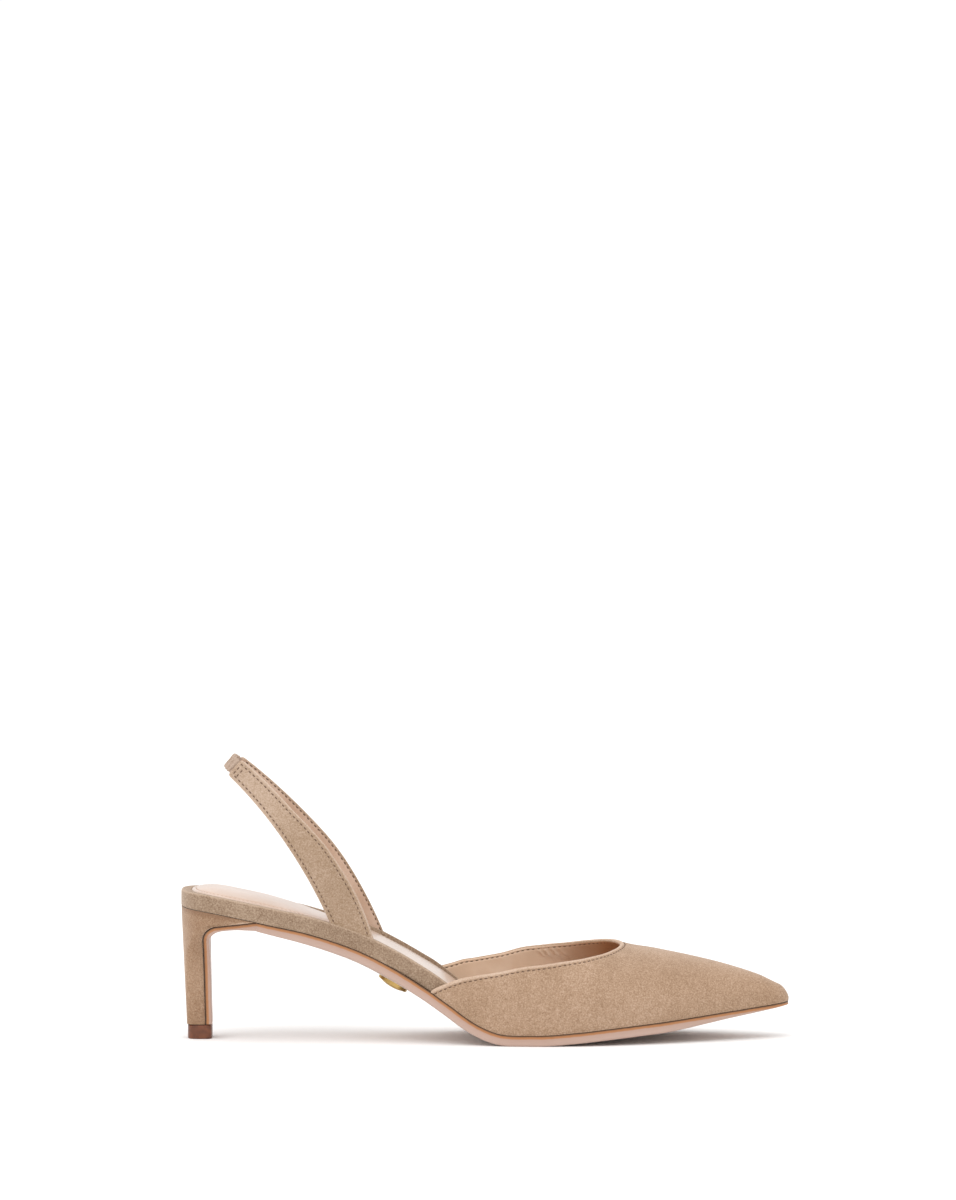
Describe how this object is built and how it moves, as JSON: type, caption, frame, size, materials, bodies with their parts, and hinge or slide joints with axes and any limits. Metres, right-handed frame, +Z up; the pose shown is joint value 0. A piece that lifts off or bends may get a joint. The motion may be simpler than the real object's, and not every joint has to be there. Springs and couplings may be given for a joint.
{
  "type": "slingback pump",
  "caption": "Suede slingback pump for the right foot: pointed low-cut vamp, slim covered heel, leather sole, wrapped insole edge and a heel strap with a short elastic.",
  "frame": {"origin": "on the floor, in the middle of the shoe's length and width", "axes": "+X from the heel to the toe, +Y to the inner side of the foot, +Z up"},
  "size_m": [0.25, 0.075, 0.1169],
  "materials": {
    "vamp_suede": "fine suede nap",
    "rim_suede": "fine suede nap, wrapped",
    "insole_leather": "smooth, half gloss",
    "sole_leather": "smooth, painted edge",
    "heel_suede": "fine suede nap, wrapped",
    "tip_rubber": "hard, satin",
    "strap_suede": "fine suede nap outside, smooth lining",
    "elastic_cover": "gathered suede over elastic",
    "stud_brass": "polished, plain"
  },
  "bodies": {
    "root": {"upper": "vamp_suede", "insole_rim": "rim_suede", "insole": "insole_leather", "outsole": "sole_leather", "heel": "heel_suede", "heel_tip": "tip_rubber", "strap_lateral": "strap_suede", "strap_medial": "strap_suede", "strap_elastic": "elastic_cover", "arch_stud": "stud_brass"}
  },
  "joints": []
}
